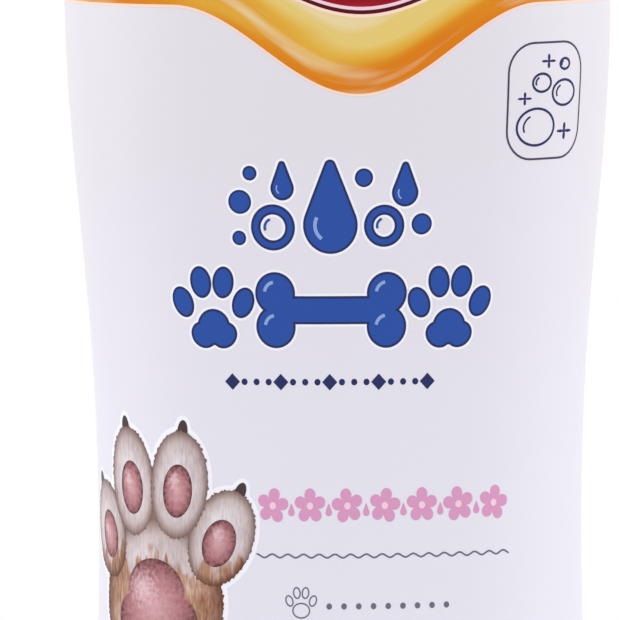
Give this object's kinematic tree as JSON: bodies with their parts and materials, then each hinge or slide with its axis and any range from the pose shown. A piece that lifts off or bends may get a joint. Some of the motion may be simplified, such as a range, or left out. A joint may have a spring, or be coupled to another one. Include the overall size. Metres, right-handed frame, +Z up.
{
  "type": "shampoo bottle",
  "caption": "Oval waisted squeeze bottle with a printed full-height sleeve, a threaded neck and a screw-on press-top closure whose disc tips to pour.",
  "frame": {"origin": "middle of the base, on the surface the bottle stands on", "axes": "+Z up through the neck, the print's front faces -Y, +X to the right seen from the front"},
  "size_m": [0.083, 0.0582, 0.233],
  "materials": {
    "bottle_plastic": "satin white",
    "printed_film": "satin printed film",
    "liquid": "pearly liquid",
    "liner_foam": "fine foam",
    "closure_plastic": "satin white",
    "disc_plastic": "satin white"
  },
  "bodies": {
    "container": {"bottle": "bottle_plastic", "shrink_sleeve": "printed_film", "shampoo": "liquid"},
    "liner": {"sealing_liner": "liner_foam"},
    "closure": {"closure_body": "closure_plastic"},
    "disc": {"dispensing_disc": "disc_plastic"}
  },
  "joints": [
    {"name": "closure_lift", "type": "slide", "parent": "container", "child": "liner", "axis": [0, 0, 1], "range_m": [0, 0.01694]},
    {"name": "closure_unscrew", "type": "hinge", "parent": "liner", "child": "closure", "pos_m": [0, 0, 0.206], "axis": [0, 0, 1], "range_deg": [0, 1440]},
    {"name": "disc_tilt", "type": "hinge", "parent": "closure", "child": "disc", "pos_m": [0, 0, 0.23011], "axis": [-1, 0, 0], "range_deg": [0, 28]}
  ],
  "couplings": [
    {"joint": "closure_lift", "follows": "closure_unscrew", "m_per_rad": 0.0006737}
  ]
}
